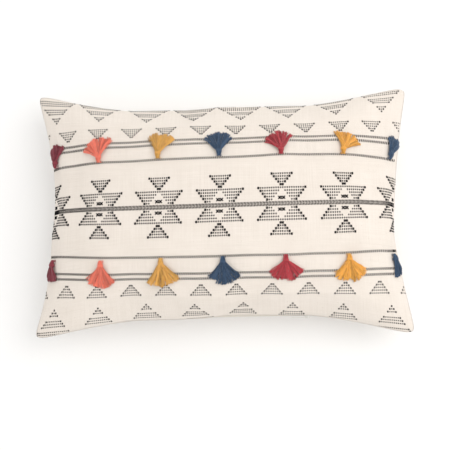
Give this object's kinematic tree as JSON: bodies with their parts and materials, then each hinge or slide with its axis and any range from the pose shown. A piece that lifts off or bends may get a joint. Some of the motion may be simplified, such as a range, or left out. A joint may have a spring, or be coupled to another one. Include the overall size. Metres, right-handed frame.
{
  "type": "lumbar throw pillow",
  "caption": "Rectangular lumbar pillow with knife-edge corners, embroidered front, yarn tassels in rows, a zip in one long seam and a filled insert.",
  "frame": {"origin": "on the surface that the pillow lies on, under the middle of its outline", "axes": "+X along the long edge, to the right when the front is read the right way up; +Y up the front, away from the zip; +Z out of the front face"},
  "size_m": [0.5944, 0.389, 0.1569],
  "materials": {
    "cover_front": "plain woven cotton with raised black threads",
    "cover_back": "plain woven cotton",
    "ticking": "fine plain-weave polycotton",
    "fibre": "loose siliconised polyester fibre",
    "label": "satin ribbon",
    "zip_tape": "woven polyester tape",
    "zip_coil": "moulded nylon coil",
    "zip_metal": "satin plated die-casting",
    "maroon": "matte cotton yarn",
    "coral": "matte cotton yarn",
    "mustard": "matte cotton yarn",
    "navy": "matte cotton yarn",
    "red": "matte cotton yarn",
    "gold": "matte cotton yarn"
  },
  "bodies": {
    "pillow": {"back_panel": "cover_back", "bottom_tassel_1_tie": "maroon", "bottom_tassel_2_tie": "coral", "bottom_tassel_3_tie": "mustard", "bottom_tassel_4_tie": "navy", "bottom_tassel_5_tie": "red", "bottom_tassel_6_tie": "gold", "bottom_tassel_7_tie": "navy", "fibre_fill": "fibre", "front_panel": "cover_front", "insert_back": "ticking", "insert_front": "ticking", "insert_label": "label", "top_tassel_1_tie": "maroon", "top_tassel_2_tie": "coral", "top_tassel_3_tie": "mustard", "top_tassel_4_tie": "navy", "top_tassel_5_tie": "red", "top_tassel_6_tie": "gold", "top_tassel_7_tie": "navy", "zip_bottom_stop": "zip_metal", "zip_coil_back": "zip_coil", "zip_coil_front": "zip_coil", "zip_tape_back": "zip_tape", "zip_tape_front": "zip_tape", "zip_top_stop_back": "zip_metal", "zip_top_stop_front": "zip_metal"},
    "bottom_tassel_1": {"bottom_tassel_1_binding": "maroon", "bottom_tassel_1_strands": "maroon"},
    "bottom_tassel_2": {"bottom_tassel_2_binding": "coral", "bottom_tassel_2_strands": "coral"},
    "bottom_tassel_3": {"bottom_tassel_3_binding": "mustard", "bottom_tassel_3_strands": "mustard"},
    "bottom_tassel_4": {"bottom_tassel_4_binding": "navy", "bottom_tassel_4_strands": "navy"},
    "bottom_tassel_5": {"bottom_tassel_5_binding": "red", "bottom_tassel_5_strands": "red"},
    "bottom_tassel_6": {"bottom_tassel_6_binding": "gold", "bottom_tassel_6_strands": "gold"},
    "bottom_tassel_7": {"bottom_tassel_7_binding": "navy", "bottom_tassel_7_strands": "navy"},
    "top_tassel_1": {"top_tassel_1_binding": "maroon", "top_tassel_1_strands": "maroon"},
    "top_tassel_2": {"top_tassel_2_binding": "coral", "top_tassel_2_strands": "coral"},
    "top_tassel_3": {"top_tassel_3_binding": "mustard", "top_tassel_3_strands": "mustard"},
    "top_tassel_4": {"top_tassel_4_binding": "navy", "top_tassel_4_strands": "navy"},
    "top_tassel_5": {"top_tassel_5_binding": "red", "top_tassel_5_strands": "red"},
    "top_tassel_6": {"top_tassel_6_binding": "gold", "top_tassel_6_strands": "gold"},
    "top_tassel_7": {"top_tassel_7_binding": "navy", "top_tassel_7_strands": "navy"},
    "zip_pull": {"zip_pull": "zip_metal"},
    "zip_slider": {"zip_slider": "zip_metal"}
  },
  "joints": [
    {"name": "bottom_tassel_1_swing", "type": "hinge", "parent": "pillow", "child": "bottom_tassel_1", "pos_m": [-0.26835, -0.07433, 0.09311], "axis": [-0.72, 0, -0.6939], "range_deg": [0, 150]},
    {"name": "bottom_tassel_2_swing", "type": "hinge", "parent": "pillow", "child": "bottom_tassel_2", "pos_m": [-0.18287, -0.08164, 0.13677], "axis": [-0.9586, 0, -0.2848], "range_deg": [0, 150]},
    {"name": "bottom_tassel_3_swing", "type": "hinge", "parent": "pillow", "child": "bottom_tassel_3", "pos_m": [-0.08683, -0.08112, 0.14994], "axis": [-0.9993, 0, -0.0385], "range_deg": [0, 150]},
    {"name": "bottom_tassel_4_swing", "type": "hinge", "parent": "pillow", "child": "bottom_tassel_4", "pos_m": [0.00852, -0.08047, 0.15164], "axis": [-1, 0, 0.0047], "range_deg": [0, 150]},
    {"name": "bottom_tassel_5_swing", "type": "hinge", "parent": "pillow", "child": "bottom_tassel_5", "pos_m": [0.10399, -0.07978, 0.14932], "axis": [-0.9962, 0, 0.0869], "range_deg": [0, 150]},
    {"name": "bottom_tassel_6_swing", "type": "hinge", "parent": "pillow", "child": "bottom_tassel_6", "pos_m": [0.19998, -0.07892, 0.13197], "axis": [-0.9485, 0, 0.3169], "range_deg": [0, 150]},
    {"name": "bottom_tassel_7_swing", "type": "hinge", "parent": "pillow", "child": "bottom_tassel_7", "pos_m": [0.27091, -0.0763, 0.09069], "axis": [-0.6948, 0, 0.7192], "range_deg": [0, 150]},
    {"name": "top_tassel_1_swing", "type": "hinge", "parent": "pillow", "child": "top_tassel_1", "pos_m": [-0.26508, 0.07688, 0.09622], "axis": [0.7615, 0, 0.6481], "range_deg": [0, 150]},
    {"name": "top_tassel_2_swing", "type": "hinge", "parent": "pillow", "child": "top_tassel_2", "pos_m": [-0.18634, 0.07607, 0.1363], "axis": [0.9609, 0, 0.277], "range_deg": [0, 150]},
    {"name": "top_tassel_3_swing", "type": "hinge", "parent": "pillow", "child": "top_tassel_3", "pos_m": [-0.09034, 0.07688, 0.15036], "axis": [0.9992, 0, 0.041], "range_deg": [0, 150]},
    {"name": "top_tassel_4_swing", "type": "hinge", "parent": "pillow", "child": "top_tassel_4", "pos_m": [0.00502, 0.07757, 0.15203], "axis": [1, 0, -0.005], "range_deg": [0, 150]},
    {"name": "top_tassel_5_swing", "type": "hinge", "parent": "pillow", "child": "top_tassel_5", "pos_m": [0.1004, 0.07822, 0.14978], "axis": [0.9982, 0, -0.0599], "range_deg": [0, 150]},
    {"name": "top_tassel_6_swing", "type": "hinge", "parent": "pillow", "child": "top_tassel_6", "pos_m": [0.19634, 0.07869, 0.133], "axis": [0.9608, 0, -0.2772], "range_deg": [0, 150]},
    {"name": "top_tassel_7_swing", "type": "hinge", "parent": "pillow", "child": "top_tassel_7", "pos_m": [0.27093, 0.07633, 0.0905], "axis": [0.6899, 0, -0.7239], "range_deg": [0, 150]},
    {"name": "zip_slide", "type": "slide", "parent": "pillow", "child": "zip_slider", "axis": [-1, 0, 0], "range_m": [0, 0.2712]},
    {"name": "zip_pull_turn", "type": "hinge", "parent": "zip_slider", "child": "zip_pull", "pos_m": [0.1345, -0.1697, 0.07], "axis": [0, 0, 1], "range_deg": [0, 165]}
  ]
}
